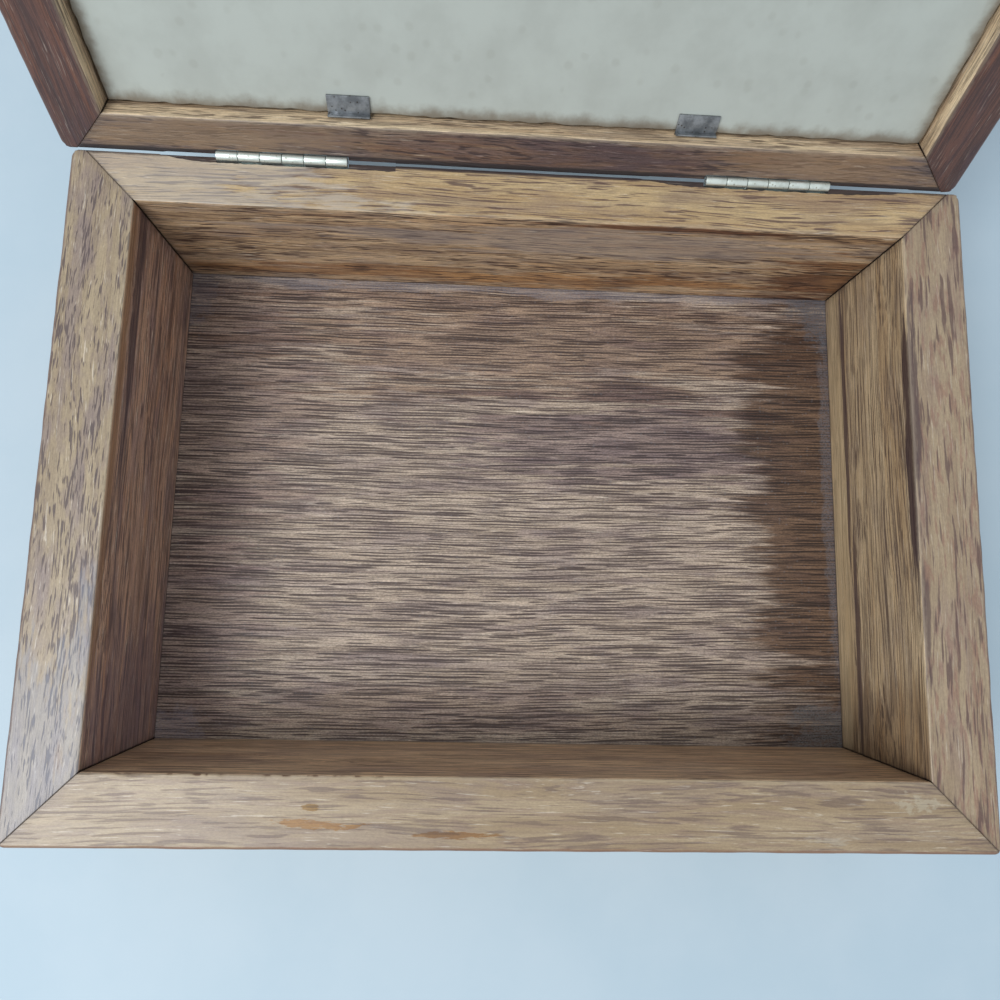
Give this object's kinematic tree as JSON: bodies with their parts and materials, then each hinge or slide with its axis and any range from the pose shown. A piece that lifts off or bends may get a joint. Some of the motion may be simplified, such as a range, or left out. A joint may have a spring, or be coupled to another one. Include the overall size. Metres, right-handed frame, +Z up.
{
  "type": "photo box",
  "caption": "Mitred oak box for photographs and keepsakes, with a framed, glazed lid that stands open on butt hinges.",
  "frame": {"origin": "centre of the box's flat underside", "axes": "+X to the right, +Y to the hinged back, +Z up, with the lid standing open"},
  "size_m": [0.2682, 0.2878, 0.2301],
  "materials": {
    "oak": "stained and varnished, satin",
    "oak_veneer": "stained, open grain",
    "hinge_metal": "pale plated brass",
    "pin_steel": "plain",
    "screw_metal": "pale plated brass",
    "glass": "clear",
    "mat_board": "matt",
    "print_paper": "bare satin paper",
    "backing_card": "matt, dusty",
    "point_steel": "galvanised"
  },
  "bodies": {
    "box": {"box_front_wall": "oak", "box_back_wall": "oak", "box_left_wall": "oak", "box_right_wall": "oak", "box_bottom_panel": "oak_veneer", "hinge_left_box_leaf": "hinge_metal", "hinge_left_pin": "pin_steel", "hinge_left_box_screws": "screw_metal", "hinge_right_box_leaf": "hinge_metal", "hinge_right_pin": "pin_steel", "hinge_right_box_screws": "screw_metal"},
    "lid": {"lid_front_rail": "oak", "lid_back_rail": "oak", "lid_left_rail": "oak", "lid_right_rail": "oak", "lid_glass": "glass", "photo_mat": "mat_board", "photo_card": "print_paper", "backing_board": "backing_card", "backing_points": "point_steel", "hinge_left_lid_leaf": "hinge_metal", "hinge_left_lid_screws": "screw_metal", "hinge_right_lid_leaf": "hinge_metal", "hinge_right_lid_screws": "screw_metal"}
  },
  "joints": [
    {"name": "lid_hinge", "type": "hinge", "parent": "box", "child": "lid", "pos_m": [0, 0.0963, 0.05455], "axis": [1, 0, 0], "range_deg": [0, 114]}
  ]
}
